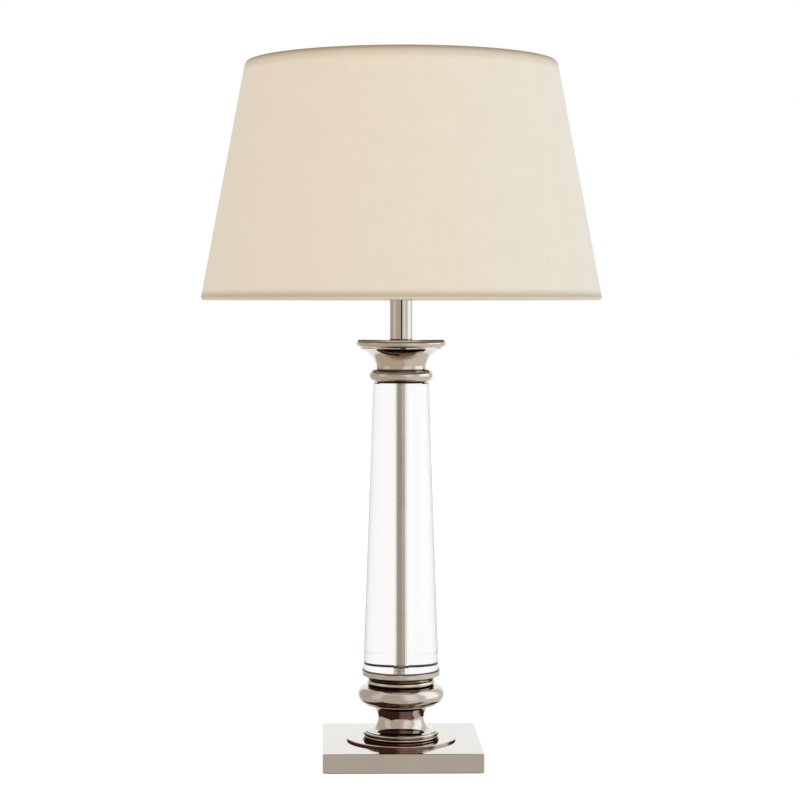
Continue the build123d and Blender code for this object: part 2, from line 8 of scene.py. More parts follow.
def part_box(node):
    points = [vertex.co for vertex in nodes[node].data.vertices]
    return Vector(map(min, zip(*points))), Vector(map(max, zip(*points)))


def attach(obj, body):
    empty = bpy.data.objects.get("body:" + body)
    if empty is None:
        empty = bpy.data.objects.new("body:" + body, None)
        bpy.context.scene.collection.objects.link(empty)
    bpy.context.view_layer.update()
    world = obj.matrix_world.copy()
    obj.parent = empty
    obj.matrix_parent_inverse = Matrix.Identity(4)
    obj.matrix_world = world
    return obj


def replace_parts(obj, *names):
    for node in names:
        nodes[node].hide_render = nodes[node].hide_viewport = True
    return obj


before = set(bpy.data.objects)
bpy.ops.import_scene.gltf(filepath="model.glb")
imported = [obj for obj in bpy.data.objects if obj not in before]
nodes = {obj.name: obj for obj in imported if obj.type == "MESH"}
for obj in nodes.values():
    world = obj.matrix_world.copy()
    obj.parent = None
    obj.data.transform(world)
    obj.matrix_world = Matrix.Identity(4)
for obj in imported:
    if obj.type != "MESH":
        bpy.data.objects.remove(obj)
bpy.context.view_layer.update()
scene = bpy.context.scene


# ---------------------------------------------------------------- measuring the frame
def low(node):
    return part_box(node)[0]


def high(node):
    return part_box(node)[1]


LEVEL_SLACK = 0.0004            # how near a level a node's points count as being on it


def radius_at(node, level, outer=True):
    """Outer or inner radius of a turned node at a level."""
    found = [point.co.to_2d().length for point in nodes[node].data.vertices
             if abs(point.co.z - level) < LEVEL_SLACK]
    return max(found) if outer else min(found)


# ---------------------------------------------------------------- node helpers
NOISE_LOW, NOISE_HIGH = 0.3, 0.7        # most of a noise texture's values lie between these


class Tree:
    """Short calls for building a node tree."""

    def __init__(self, tree):
        self.tree = tree
        tree.nodes.clear()

    def node(self, kind, inputs=None, **settings):
        made = self.tree.nodes.new(kind)
        for key, value in settings.items():
            setattr(made, key, value)
        for key, value in (inputs or {}).items():
            self.put(made.inputs[key], value)
        return made

    def put(self, socket, value):
        if isinstance(value, bpy.types.NodeSocket):
            self.tree.links.new(value, socket)
        elif isinstance(value, bpy.types.Node):
            self.tree.links.new(value.outputs[0], socket)
        else:
            socket.default_value = value

    def math(self, operation, *values):
        made = self.node("ShaderNodeMath", operation=operation)
        for socket, value in zip(made.inputs, values):
            self.put(socket, value)
        return made.outputs[0]

    def add(self, first, second):
        return self.math("ADD", first, second)

    def times(self, first, second):
        return self.math("MULTIPLY", first, second)

    def above(self, value, limit):
        return self.math("GREATER_THAN", value, limit)

    def noise(self, vector, scale, detail=3.0, rough=0.55, distortion=0.0):
        return self.node("ShaderNodeTexNoise", {
            "Vector": vector, "Scale": scale, "Detail": detail, "Roughness": rough,
            "Distortion": distortion,
        }).outputs[0]

    def streaks(self, vector, scales, detail=2.0):
        """Noise drawn out by a different scale along each axis."""
        return self.noise(self.stretch(vector, scales), 1.0, detail)

    def stretch(self, vector, scale, rotation=(0, 0, 0)):
        return self.node("ShaderNodeMapping", {
            "Vector": vector, "Scale": scale, "Rotation": rotation,
        }).outputs[0]

    def range(self, value, low_in, high_in, low_out=0.0, high_out=1.0, smooth=False):
        made = self.node("ShaderNodeMapRange", {
            0: value, 1: low_in, 2: high_in, 3: low_out, 4: high_out,
        })
        if smooth:
            made.interpolation_type = "SMOOTHSTEP"
        return made.outputs[0]

    def fade(self, value, start, end, low_out=0.0, high_out=1.0):
        return self.range(value, start, end, low_out, high_out, smooth=True)

    def spread(self, value, low_out=0.0, high_out=1.0):
        """A noise value spread over the whole of a range."""
        return self.range(value, NOISE_LOW, NOISE_HIGH, low_out, high_out)

    def uneven(self, value, middle, share):
        """A number that wanders by a share of itself either way."""
        return self.spread(value, middle * (1 - share), middle * (1 + share))

    def mix(self, factor, first, second):
        made = self.node("ShaderNodeMix", data_type="RGBA")
        self.put(made.inputs[0], factor)
        self.put(made.inputs[6], first)
        self.put(made.inputs[7], second)
        return made.outputs[2]

    def drift(self, value, dark, light):
        """A colour that wanders between two with a noise value."""
        return self.mix(self.spread(value), (*dark, 1), (*light, 1))

    def ramp(self, value, stops):
        made = self.node("ShaderNodeValToRGB", {0: value})
        elements = made.color_ramp.elements
        while len(elements) < len(stops):
            elements.new(0.5)
        for element, (place, colour) in zip(elements, stops):
            element.position = place
            element.color = (*colour, 1)
        return made.outputs[0]

    def bump(self, height, strength, distance, normal=None):
        made = self.node("ShaderNodeBump", {
            "Height": height, "Strength": strength, "Distance": distance,
        })
        if normal is not None:
            self.put(made.inputs["Normal"], normal)
        return made.outputs[0]

    def principled(self, **values):
        shader = self.node("ShaderNodeBsdfPrincipled")
        for key, value in values.items():
            self.put(shader.inputs[key.replace("_", " ")], value)
        return shader

    def finish(self, shader):
        self.node("ShaderNodeOutputMaterial", {"Surface": shader})


def material(name):
    """A new material, its tree, and the object coordinates that its textures lie in."""
    made = bpy.data.materials.new(name)
    made.use_nodes = True
    t = Tree(made.node_tree)
    return made, t, coords(t, "Object")


def coords(t, kind):
    return t.node("ShaderNodeTexCoord").outputs[kind]


# ---------------------------------------------------------------- materials
def nickel(name, rough, turned=0.0, brushed=0.0):
    """Bright nickel plate: mirror-like, with faint polishing marks and a little unevenness."""
    made, t, place = material(name)
    cloud = t.noise(place, 22.0)
    fine = t.noise(place, 260.0, 4.0, 0.65)
    smears = t.add(t.times(cloud, 0.6), t.times(fine, 0.4))
    rings = t.streaks(place, (3.0, 3.0, 900.0))
    lines = t.streaks(place, (900.0, 9.0, 9.0))
    marks = t.add(t.times(rings, turned), t.times(lines, brushed))
    waves = t.bump(t.noise(place, 34.0, 1.0), 0.10, 0.0005)
    t.finish(t.principled(
        Base_Color=t.drift(cloud, (0.665, 0.658, 0.645), (0.700, 0.694, 0.682)),
        Metallic=1.0, Roughness=t.uneven(smears, rough, 0.3),
        Normal=t.bump(marks, 0.5, 0.00002, waves),
    ))
    return made


def zinc(name):
    """Plated steel, with the marks of a rolled thread round it."""
    made, t, place = material(name)
    cloud = t.noise(place, 60.0)
    thread = t.node("ShaderNodeTexWave", {"Vector": place, "Scale": 160.0, "Distortion": 0.2},
                    bands_direction="Z").outputs[1]
    t.finish(t.principled(
        Base_Color=t.mix(cloud, (0.50, 0.495, 0.48, 1), (0.60, 0.59, 0.575, 1)),
        Metallic=1.0, Roughness=t.spread(cloud, 0.10, 0.16),
        Normal=t.bump(thread, 0.10, 0.0001),
    ))
    return made


def crystal(name):
    """Solid polished crystal with the faintest unevenness of a hand-polished face."""
    made, t, place = material(name)
    swirl = t.streaks(place, (30.0, 30.0, 4.0))
    smear = t.noise(place, 50.0)
    t.finish(t.principled(
        Base_Color=(0.985, 0.985, 0.98, 1), IOR=1.56, Transmission_Weight=1.0,
        Roughness=t.range(smear, 0.55, 0.8, 0.0, 0.012), Normal=t.bump(swirl, 0.02, 0.0003),
    ))
    return made


def smoky_seal(name):
    """Soft seat ring, dark against the crystal, letting a little light through."""
    made, t, place = material(name)
    smear = t.noise(place, 180.0)
    t.finish(t.principled(
        Base_Color=t.mix(smear, (0.10, 0.09, 0.08, 1), (0.20, 0.18, 0.16, 1)),
        IOR=1.42, Transmission_Weight=0.35, Roughness=t.spread(smear, 0.25, 0.45),
    ))
    return made


def moulded(name, dark, light, rough, grain=420.0, depth=0.00004, gloss=0.0):
    """Moulded plastic or rubber: fine mould grain, slow colour drift."""
    made, t, place = material(name)
    spark = t.noise(place, grain, 3.0, 0.6)
    t.finish(t.principled(
        Base_Color=t.drift(t.noise(place, 30.0), dark, light),
        Roughness=t.uneven(spark, rough, 0.2), Coat_Weight=gloss, Coat_Roughness=0.12,
        Normal=t.bump(spark, 0.6, depth),
    ))
    return made


def rolled_metal(name, dark, light, rough):
    """Plain sheet metal with a fine grain."""
    made, t, place = material(name)
    spark = t.noise(place, 200.0, 3.0, 0.6)
    t.finish(t.principled(
        Base_Color=t.drift(t.noise(place, 45.0), dark, light),
        Metallic=1.0, Roughness=t.uneven(spark, rough, 0.3), Normal=t.bump(spark, 0.5, 0.00003),
    ))
    return made


def rough_solid(name, dark, light, rough, scale, depth, metallic=0.0):
    """A lumpy casting or a fibrous board."""
    made, t, place = material(name)
    lumps = t.noise(place, scale, 6.0, 0.7)
    t.finish(t.principled(
        Base_Color=t.drift(lumps, dark, light), Metallic=metallic, Roughness=rough,
        Normal=t.bump(lumps, 0.8, depth),
    ))
    return made


def felt(name):
    """Pressed wool: two crossing lays of fibres."""
    made, t, place = material(name)
    fibres = t.noise(t.stretch(place, (700.0, 160.0, 700.0), (0, 0, 0.6)), 1.0, 4.0, 0.7, 1.5)
    other = t.noise(t.stretch(place, (160.0, 700.0, 700.0), (0, 0, 0.3)), 1.0, 4.0, 0.7, 1.5)
    mat = t.math("MAXIMUM", fibres, other)
    t.finish(t.principled(
        Base_Color=t.mix(t.range(mat, 0.4, 0.75), (0.012, 0.012, 0.013, 1),
                         (0.05, 0.048, 0.046, 1)),
        Roughness=0.95, Sheen_Weight=0.35, Sheen_Roughness=0.6, Normal=t.bump(mat, 0.9, 0.0004),
    ))
    return made


def opal(name):
    """White blown glass, a little light passing under its skin."""
    made, t, place = material(name)
    cloud = t.noise(place, 40.0, 2.0)
    t.finish(t.principled(
        Base_Color=t.mix(cloud, (0.86, 0.855, 0.84, 1), (0.93, 0.925, 0.91, 1)),
        Roughness=t.spread(cloud, 0.12, 0.2), Subsurface_Weight=0.35,
        Subsurface_Radius=(0.01, 0.01, 0.009), Subsurface_Scale=0.5,
        Coat_Weight=0.4, Coat_Roughness=0.08,
    ))
    return made


CREAM_DEEP = (0.765, 0.665, 0.520)
CREAM = (0.810, 0.715, 0.575)
CREAM_PALE = (0.835, 0.755, 0.630)
# Dark brown mixed into the cloth as painted shade along the rolled hems.
CREAM_PAINTED_SHADE = (0.40, 0.285, 0.16)
THREAD_PITCH = 0.00075
THREAD_WOBBLE = 0.0009


def weave_height(t, flat):
    """Plain weave from the cloth's own flat metres: over-and-under threads that wander."""
    across, along, _ = t.node("ShaderNodeSeparateXYZ", {0: flat}).outputs
    wobble = t.times(t.streaks(flat, (60.0, 60.0, 1.0)), THREAD_WOBBLE)
    warp, weft = (
        t.math("SINE", t.times(t.add(way, wobble), 2 * math.pi / THREAD_PITCH))
        for way in (across, along)
    )
    return t.add(t.times(t.times(warp, weft), 0.35), 0.5)


def shade_cloth(name):
    """Fine cream cotton: close weave, the faintest slubs, a soft nap, with painted shade darkening
    it along the hems.
    """
    made, t, _ = material(name)
    flat = t.node("ShaderNodeUVMap", uv_map="metres").outputs[0]
    slubs = t.add(t.times(t.streaks(flat, (18.0, 700.0, 1.0)), 0.5),
                  t.times(t.streaks(flat, (700.0, 18.0, 1.0)), 0.5))
    cloud = t.streaks(flat, (26.0, 26.0, 1.0), 3.0)
    body = t.drift(slubs, CREAM_DEEP, CREAM)
    body = t.mix(t.spread(cloud, 0.0, 0.30), body, (*CREAM_PALE, 1))
    # Painted shade: the 'edge' colour layer darkens the cloth towards the hems.
    edge = t.node("ShaderNodeVertexColor", layer_name="edge").outputs[0]
    painted_shade_mask = t.node("ShaderNodeSeparateColor", {0: edge}).outputs[0]
    body = t.mix(painted_shade_mask, body, (*CREAM_PAINTED_SHADE, 1))
    normal = t.bump(t.add(weave_height(t, flat), t.times(slubs, 0.5)), 0.25, 0.00008)
    front = t.principled(
        Base_Color=body, Roughness=0.9, Specular_IOR_Level=0.15, Sheen_Weight=0.25,
        Sheen_Roughness=0.4, Sheen_Tint=(0.95, 0.98, 1.0, 1), Normal=normal,
    )
    through = t.node("ShaderNodeBsdfTranslucent", {"Color": body, "Normal": normal})
    t.finish(t.node("ShaderNodeMixShader", {0: 0.15, 1: front, 2: through}))
    return made


def liner(name):
    """Translucent warm white film with a fine satin grain."""
    made, t, place = material(name)
    colour = t.mix(t.noise(place, 15.0), (0.80, 0.70, 0.55, 1), (0.85, 0.76, 0.62, 1))
    front = t.principled(
        Base_Color=colour, Roughness=0.42, Normal=t.bump(t.noise(place, 500.0, 2.0), 0.2, 0.00004)
    )
    through = t.node("ShaderNodeBsdfTranslucent", {"Color": colour})
    t.finish(t.node("ShaderNodeMixShader", {0: 0.4, 1: front, 2: through}))
    return made


NICKEL_TURNED = nickel("nickel_turned", 0.02, turned=0.5)
NICKEL_TUBE = nickel("nickel_tube", 0.03, turned=0.3)
NICKEL_BASE = nickel("nickel_base", 0.07, brushed=1.0)
ZINC = zinc("zinc_steel")
CRYSTAL = crystal("crystal")
SEAL = smoky_seal("clear_seal")
IVORY = moulded("holder_ivory", (0.66, 0.62, 0.52), (0.74, 0.70, 0.61), 0.38, gloss=0.15)
BLACK = moulded("switch_black", (0.012, 0.012, 0.012), (0.03, 0.03, 0.03), 0.25, gloss=0.4)
RUBBER = moulded("bush_rubber", (0.012, 0.012, 0.012), (0.028, 0.027, 0.026), 0.7, 300.0, 0.0001)
PORCELAIN = moulded("porcelain", (0.76, 0.74, 0.70), (0.86, 0.85, 0.82), 0.3, 250.0, 0.00005, 0.3)
BRASS = rolled_metal("brass", (0.50, 0.36, 0.15), (0.72, 0.55, 0.28), 0.28)
CAP_METAL = rolled_metal("bulb_cap_metal", (0.62, 0.62, 0.61), (0.80, 0.80, 0.79), 0.25)
IRON = rough_solid("cast_iron", (0.03, 0.03, 0.03), (0.10, 0.098, 0.095), 0.75, 140.0, 0.0006, 0.7)
BOARD = rough_solid("fibre_board", (0.10, 0.065, 0.04), (0.20, 0.14, 0.09), 0.8, 300.0, 0.0001)
FUSED = moulded("fused_black", (0.008, 0.008, 0.012), (0.02, 0.02, 0.026), 0.12, 100.0, 0.00002,
                0.6)
WHITE_PAINT = moulded("white_powder_coat", (0.74, 0.73, 0.70), (0.84, 0.83, 0.80), 0.4, 600.0,
                      0.00006)
FELT = felt("felt")
OPAL = opal("opal_glass")
CLOTH = shade_cloth("shade_cloth")
LINER = liner("liner_film")

finishes = {
    NICKEL_TURNED: ["foot_disc", "foot_flange", "pedestal", "knop", "neck_bead", "cup",
                    "capital_ring", "capital"],
    NICKEL_TUBE: ["candle_tube"],
    NICKEL_BASE: ["base_box"],
    ZINC: ["centre_pipe", "pipe_nuts", "base_washer"],
    CRYSTAL: ["crystal_column"],
    SEAL: ["lower_seat_ring", "upper_seat_ring"],
    IVORY: ["holder_cap", "holder_skirt", "lower_shade_ring", "upper_shade_ring"],
    BLACK: ["switch_bar"],
    RUBBER: ["cable_bush"],
    PORCELAIN: ["contact_block"],
    BRASS: ["terminal_screws", "thread_sleeve", "centre_contact", "bulb_contact"],
    CAP_METAL: ["bulb_cap"],
    IRON: ["ballast_plate"],
    BOARD: ["base_cover"],
    FUSED: ["bulb_insulator"],
    WHITE_PAINT: ["carrier_hub", "carrier_arms", "shade_bottom_wire", "shade_top_wire"],
    FELT: ["felt_pad"],
    OPAL: ["bulb_glass"],
    CLOTH: ["shade_fabric", "shade_bottom_hem", "shade_top_hem"],
    LINER: ["shade_liner"],
}
for finish, names in finishes.items():
    for name in names:
        nodes[name].data.materials.clear()
        nodes[name].data.materials.append(finish)


# ---------------------------------------------------------------- mesh helpers
def new_object(name, mesh, finish, body):
    made = bpy.data.objects.new(name, mesh)
    scene.collection.objects.link(made)
    mesh.materials.append(finish)
    for face in mesh.polygons:
        face.use_smooth = True
    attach(made, body)
    return made


def around_point(radius, turn, level):
    return (radius * math.cos(turn), radius * math.sin(turn), level)


def even_turns(segments):
    return [2 * math.pi * j / segments for j in range(segments)]


def grid_mesh(name, rows, flat=None, tone=None, closed_rows=False):
    """A mesh from rows of points, each row closed round the axis.

    flat gives a corner's place on the flat cloth in metres, from its row and its step round.
    tone gives how dark a row is, as painted shade along the cloth's hems. closed_rows joins the
    last row to the first.
    """
    bm = bmesh.new()
    made = [[bm.verts.new(point) for point in row] for row in rows]
    count = len(rows[0])
    uv = bm.loops.layers.uv.new("metres")
    # each row's painted shade is kept in the 'edge' colour layer
    shade = bm.loops.layers.color.new("edge")
    pairs = [(i, i + 1) for i in range(len(rows) - 1)]
    if closed_rows:
        pairs.append((len(rows) - 1, 0))
    for i, k in pairs:
        for j in range(count):
            n = (j + 1) % count
            face = bm.faces.new((made[i][j], made[i][n], made[k][n], made[k][j]))
            corners = ((i, j), (i, j + 1), (k, j + 1), (k, j))
            for loop, (row, step) in zip(face.loops, corners):
                if flat:
                    loop[uv].uv = flat(row, step)
                if tone:
                    value = tone(row)
                    loop[shade] = (value, value, value, 1)
    mesh = bpy.data.meshes.new(name)
    bm.to_mesh(mesh)
    bm.free()
    return mesh


def turned_piece(name, profile, finish, body, segments=96):
    """A closed ring from its section, given as (radius, level) points."""
    rows = [[around_point(radius, turn, level) for turn in even_turns(segments)]
            for radius, level in profile]
    return new_object(name, grid_mesh(name, rows, closed_rows=True), finish, body)


# ---------------------------------------------------------------- seat rings of the crystal
SEAT_GAP = 0.00007              # a hair between each ring and the crystal's polished end
SEAT_EDGE = 0.0002              # the lower ring's chamfers
SKIRT_FLOAT = 0.00003           # the skirt above the cup's rim
SKIRT_GAP = 0.00008             # the skirt beside the crystal
SKIRT_REACH = 0.00085           # the skirt's outer face from the crystal's side
SKIRT_RISE = 0.0016
SKIRT_ROUND = 0.0004
SKIRT_BEND = 0.0011             # where the skirt turns in under the crystal's chamfer
CHAMFER_GAP = 0.00012
CRYSTAL_CHAMFER = 0.0008


def half_round(radius, level, size, start):
    """Half a turn of points, from a start angle in degrees, round a rim's middle."""
    angles = [math.radians(start + 30 * k) for k in range(7)]
    return [(radius + size * math.cos(a), level + size * math.sin(a)) for a in angles]


def upper_seat():
    """A soft ring with rounded rims, a hair away from the crystal's polished face."""
    node = "upper_seat_ring"
    foot, head = low(node).z + SEAT_GAP, high(node).z
    bore, rim = radius_at(node, low(node).z, outer=False), radius_at(node, low(node).z)
    soft, middle = (head - foot) / 2, (head + foot) / 2
    profile = half_round(rim - soft, middle, soft, -90) + half_round(bore + soft, middle, soft, 90)
    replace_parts(turned_piece("seat_ring_upper", profile, SEAL, "lamp"), node)


def lower_seat():
    """The lower ring, with a thin skirt that comes out and turns up round the crystal's foot."""
    node = "lower_seat_ring"
    foot, head = low(node).z, high(node).z - SEAT_GAP
    bore, rim = radius_at(node, foot, outer=False), radius_at(node, foot)
    glass_low = low("crystal_column").z
    glass_foot = radius_at("crystal_column", glass_low)
    glass_side = radius_at("crystal_column", glass_low + CRYSTAL_CHAMFER)
    skirt = high("cup").z + SKIRT_FLOAT
    inner, outer = glass_side + SKIRT_GAP, glass_side + SKIRT_REACH
    shoulder = skirt + SKIRT_RISE - SKIRT_ROUND
    profile = [
        (bore + SEAT_EDGE, foot), (rim - SEAT_EDGE, foot), (rim, foot + SEAT_EDGE), (rim, skirt),
        (outer, skirt), (outer, shoulder),
        *half_round((inner + outer) / 2, shoulder, (outer - inner) / 2, 0),
        (inner, skirt + SKIRT_BEND), (glass_foot + CHAMFER_GAP, head),
        (bore + SEAT_EDGE, head), (bore, head - SEAT_EDGE), (bore, foot + SEAT_EDGE),
    ]
    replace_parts(turned_piece("seat_ring_lower", profile, SEAL, "lamp"), node)


lower_seat()
upper_seat()

# ---------------------------------------------------------------- felt pad
FELT_CORNER = 0.003
FELT_STEP = 0.006               # between points along the felt's edge
FELT_FLUFF = 0.0012             # how far fibres stand in from the cut edge, as a share
# Section of the felt, as (share of the way out, share of the thickness).
FELT_SECTION = [(0.0, 0.0), (0.90, 0.0), (0.985, 0.02), (1.0, 0.35), (0.999, 0.75),
                (0.985, 1.0), (0.0, 1.0)]


def felt_outline(half):
    """The felt's cut edge: a square with round corners."""
    outline = []
    for quarter in range(4):
        diagonal = math.radians(45 + 90 * quarter)
        centre = Vector((math.cos(diagonal), math.sin(diagonal)))
        centre *= math.sqrt(2) * (half - FELT_CORNER)
        for k in range(5):
            angle = math.radians(90 * quarter + 22.5 * k)
            outline.append(centre + FELT_CORNER * Vector((math.cos(angle), math.sin(angle))))
    points = []
    for here, there in zip(outline, outline[1:] + outline[:1]):
        steps = max(1, round((there - here).length / FELT_STEP))
        points += [here.lerp(there, k / steps) for k in range(steps)]
    return points


def felt_sheet():
    """Cut felt under the base: soft rounded corners and a slightly fluffy edge."""
    foot, head = low("felt_pad"), high("felt_pad")
    half, thick = head.x, head.z - foot.z
    outline = felt_outline(half)
    rows = []
    for share, height in FELT_SECTION:
        row = []
        for point in outline:
            place = Vector((point.x * 400, point.y * 400, height * 3))
            fluff = min(1 + FELT_FLUFF * noise.noise(place), 1.0)
            spot = point * max(share, 0.001) * fluff
            row.append((spot.x, spot.y, foot.z + thick * height))
        rows.append(row)
    sheet = new_object("felt_sheet", grid_mesh("felt_sheet", rows), FELT, "lamp")
    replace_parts(sheet, "felt_pad")


felt_sheet()

# ---------------------------------------------------------------- the shade's cone
SEGMENTS = 288
MID_RADIUS = 0.2                # turns count as this radius in the cloth's flat metres
fabric_low = low("shade_fabric").z
fabric_high = high("shade_fabric").z
fabric_foot_radius = radius_at("shade_fabric", fabric_low)
fabric_head_radius = radius_at("shade_fabric", fabric_high)
fabric_slope = (fabric_foot_radius - fabric_head_radius) / (fabric_high - fabric_low)
slant = math.hypot(fabric_high - fabric_low, fabric_foot_radius - fabric_head_radius)

hem_low = low("shade_bottom_hem").z
hem_high = high("shade_top_hem").z
hem_foot_radius = radius_at("shade_bottom_hem", hem_low)
hem_head_radius = radius_at("shade_top_hem", hem_high)
hem_slope = (hem_foot_radius - hem_head_radius) / (hem_high - hem_low)


def fabric_radius(level):
    return fabric_foot_radius - fabric_slope * (level - fabric_low)


def hem_radius(level):
    return hem_foot_radius - hem_slope * (level - hem_low)


# The cloth's overlap runs down the back, with columns of points close together across it.
SEAM = math.radians(90.0)
SEAM_WIDTH = 0.010
SEAM_RISE = 0.00045
SEAM_STEP = 0.0012              # how fast the overlap's cut edge rises
SEAM_FADE = 0.008               # how slowly its far side sinks back
SEAM_COLUMNS = (-0.0012, -0.0006, 0.0, 0.0006, 0.002, 0.004, 0.006, 0.008, 0.010)
turns = sorted(set(even_turns(SEGMENTS) + [SEAM + away / MID_RADIUS for away in SEAM_COLUMNS]))


def seam_rise(turn, radius):
    """The overlap stands a cloth's thickness proud."""
    away = (turn - SEAM) * radius
    step_in = min(max((away + SEAM_STEP / 2) / SEAM_STEP, 0.0), 1.0)
    fade = min(max((SEAM_WIDTH - away) / SEAM_FADE, 0.0), 1.0)
    return SEAM_RISE * step_in * fade


def turn_of(step):
    return turns[step % len(turns)] + (2 * math.pi if step >= len(turns) else 0.0)


def bottom_painted_shade(height):
    """Painted shade along the bottom wire, where the cloth turns over, fading slowly upwards."""
    spread = 0.0062 if height > 0.0039 else 0.0034
    return 0.80 * math.exp(-((height - 0.0039) / spread) ** 2)


def top_painted_shade(depth):
    """Painted shade round the top wire, darkest at the very edge."""
    return min(math.exp((0.0016 - depth) / 0.0100), 1.0)


# ---------------------------------------------------------------- shade cloth
LEVELS = 44
HEM_DEPTH = 0.0085              # from each edge to where the cloth comes out of the hem
NEAR_HEM = 0.011                # share of the cloth over which the hems' painted shade fades
CLOTH_INSET = 0.0001
CLOTH_EASE = 0.00022            # how far the cloth wanders from a true cone
cloth_shares = [0.0, NEAR_HEM, *(i / LEVELS for i in range(1, LEVELS)), 1 - NEAR_HEM, 1.0]
# Painted shade of the cloth's rows: only the end rows next to the hems are darkened.
cloth_painted_shade = [0.0] * len(cloth_shares)
cloth_painted_shade[0] = bottom_painted_shade(HEM_DEPTH)
cloth_painted_shade[-1] = top_painted_shade(HEM_DEPTH)
cloth_painted_shade[-2] = 0.5 * cloth_painted_shade[-1]


def cloth_row(share):
    level = fabric_low + HEM_DEPTH + (fabric_high - fabric_low - 2 * HEM_DEPTH) * share
    radius = fabric_radius(level)
    row = []
    for turn in turns:
        ease = noise.noise(Vector((4 * math.cos(turn), 4 * math.sin(turn), level * 9)))
        ease *= CLOTH_EASE * math.sin(math.pi * share)
        reach = radius - CLOTH_INSET + ease + seam_rise(turn, radius)
        row.append(around_point(reach, turn, level))
    return row


cloth = new_object(
    "shade_cloth",
    grid_mesh(
        "shade_cloth", [cloth_row(share) for share in cloth_shares],
        flat=lambda row, step: (turn_of(step) * MID_RADIUS, cloth_shares[row] * slant),
        tone=lambda row: cloth_painted_shade[row],
    ),
    CLOTH, "shade",
)
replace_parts(cloth, "shade_fabric")

# ---------------------------------------------------------------- rolled hems and film
FLUSH = 0.0006                  # the hem's face inside the CAD hem's, level with the cloth
ROLL_REACH = 0.0052             # height over which the hem rounds in to its edge
ROLL_DEPTH = 0.0028             # how far in it has come at the edge
TOP_LIFT = 0.0004               # the top edge above the CAD hem
BOTTOM_LIFT = 0.0003            # the bottom edge above the CAD hem's foot
FILM_END = 0.0034               # the film ends this far inside each edge
RIPPLE = 0.00012
INNER_FACE = 0.004              # beyond this inset the hem faces inwards and takes the full painted shade
SEAM_DEPTH = 0.003              # the overlap's thickness dies out this far round the roll
# The hem under the cloth and beside it, then its return inside the wire, as (inset, height).
TUCKED = [(0.0013, HEM_DEPTH + 0.0030), (0.00095, HEM_DEPTH + 0.0018),
          (0.00072, HEM_DEPTH + 0.0004), (FLUSH, HEM_DEPTH - 0.0008),
          (FLUSH, HEM_DEPTH - 0.0016), (FLUSH, HEM_DEPTH - 0.0024)]
RETURN = [(0.0047, 0.0005), (0.0056, 0.0020), (0.0059, 0.0042), (0.0056, 0.0075),
          (0.0034, 0.0088)]


def rolled():
    """Section of a rolled edge as (inset, height from the edge, length along the cloth)."""
    points = list(TUCKED)
    for k in range(13):
        turn = math.radians(7.5 * k)
        points.append((FLUSH + ROLL_DEPTH * (1 - math.cos(turn)),
                       ROLL_REACH * (1 - math.sin(turn))))
    points += RETURN
    length, last, section = 0.0, points[0], []
    for inset, height in points:
        length += math.hypot(inset - last[0], height - last[1])
        section.append((inset, height, length))
        last = (inset, height)
    return section


def hem(name, node, edge, inward, tone):
    """Cloth rolled over a wire, from the edge's level; inward is 1 upwards or -1 downwards."""
    section = rolled()
    rows = []
    for inset, height, _ in section:
        level = edge + inward * height
        outside = max(0.0, 1 - inset / SEAM_DEPTH)
        row = []
        for turn in turns:
            ripple = noise.noise(Vector((26 * math.cos(turn), 26 * math.sin(turn), level * 120)))
            radius = hem_radius(level) - inset + RIPPLE * ripple
            row.append(around_point(radius + seam_rise(turn, radius) * outside, turn, level))
        rows.append(row)
    made = new_object(
        name,
        grid_mesh(
            name, rows,
            flat=lambda row, step: (turn_of(step) * MID_RADIUS, section[row][2]),
            tone=lambda row: tone(section[row][0], section[row][1]),
        ),
        CLOTH, "shade",
    )
    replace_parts(made, node)
    return made


bottom_edge, top_edge = hem_low + BOTTOM_LIFT, hem_high + TOP_LIFT
# Painted shade on the hems: full on the bottom hem's inner face, and fading from each edge on the
# outside.
bottom_hem = hem(
    "shade_hem_bottom", "shade_bottom_hem", bottom_edge, 1,
    lambda inset, height: 1.0 if inset > INNER_FACE else bottom_painted_shade(height),
)
top_hem = hem(
    "shade_hem_top", "shade_top_hem", top_edge, -1, lambda inset, height: top_painted_shade(height)
)


def film():
    """The stiff film under the cloth, which ends inside the rolled hems."""
    foot = low("shade_liner").z
    outer = hem_radius(foot) - radius_at("shade_liner", foot)
    inner = hem_radius(foot) - radius_at("shade_liner", foot, outer=False)
    start, end = bottom_edge + FILM_END, top_edge - FILM_END
    profile = [(hem_radius(start) - inner, start), (hem_radius(start) - outer, start),
               (hem_radius(end) - outer, end), (hem_radius(end) - inner, end)]
    made = turned_piece("shade_film", profile, LINER, "shade", SEGMENTS)
    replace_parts(made, "shade_liner")


film()

# ---------------------------------------------------------------- camera
camera_data = bpy.data.cameras.new("camera")
camera_data.lens = 97.652
camera_data.sensor_width = 36.0
camera_data.shift_x = 0.04645
camera_data.shift_y = -0.05700
camera_data.clip_start = 0.05
camera = bpy.data.objects.new("camera", camera_data)
camera.location = (-0.08404, -2.43212, 0.50953)
camera.rotation_euler = (math.radians(90 - 1.3), 0, -math.radians(0.97))
scene.collection.objects.link(camera)
scene.camera = camera

# ---------------------------------------------------------------- studio
scene.view_settings.view_transform = "Standard"
scene.view_settings.look = "None"

world = bpy.data.worlds.new("studio")
world.use_nodes = True
scene.world = world
w = Tree(world.node_tree)
dx, dy, dz = w.node("ShaderNodeSeparateXYZ", {0: coords(w, "Generated")}).outputs
bearing = w.math("ARCTAN2", dx, w.times(dy, -1.0))      # 0 towards the camera, rising to the right
turn_share = w.add(w.math("DIVIDE", bearing, 2 * math.pi), 0.5)
off_front = w.math("ABSOLUTE", bearing)
BRIGHT = 2.5                    # the world's strength; colours below are given times it


def scaled(red, green, blue):
    return (red / BRIGHT, green / BRIGHT, blue / BRIGHT)


def plain(*colour):
    return (*scaled(*colour), 1)


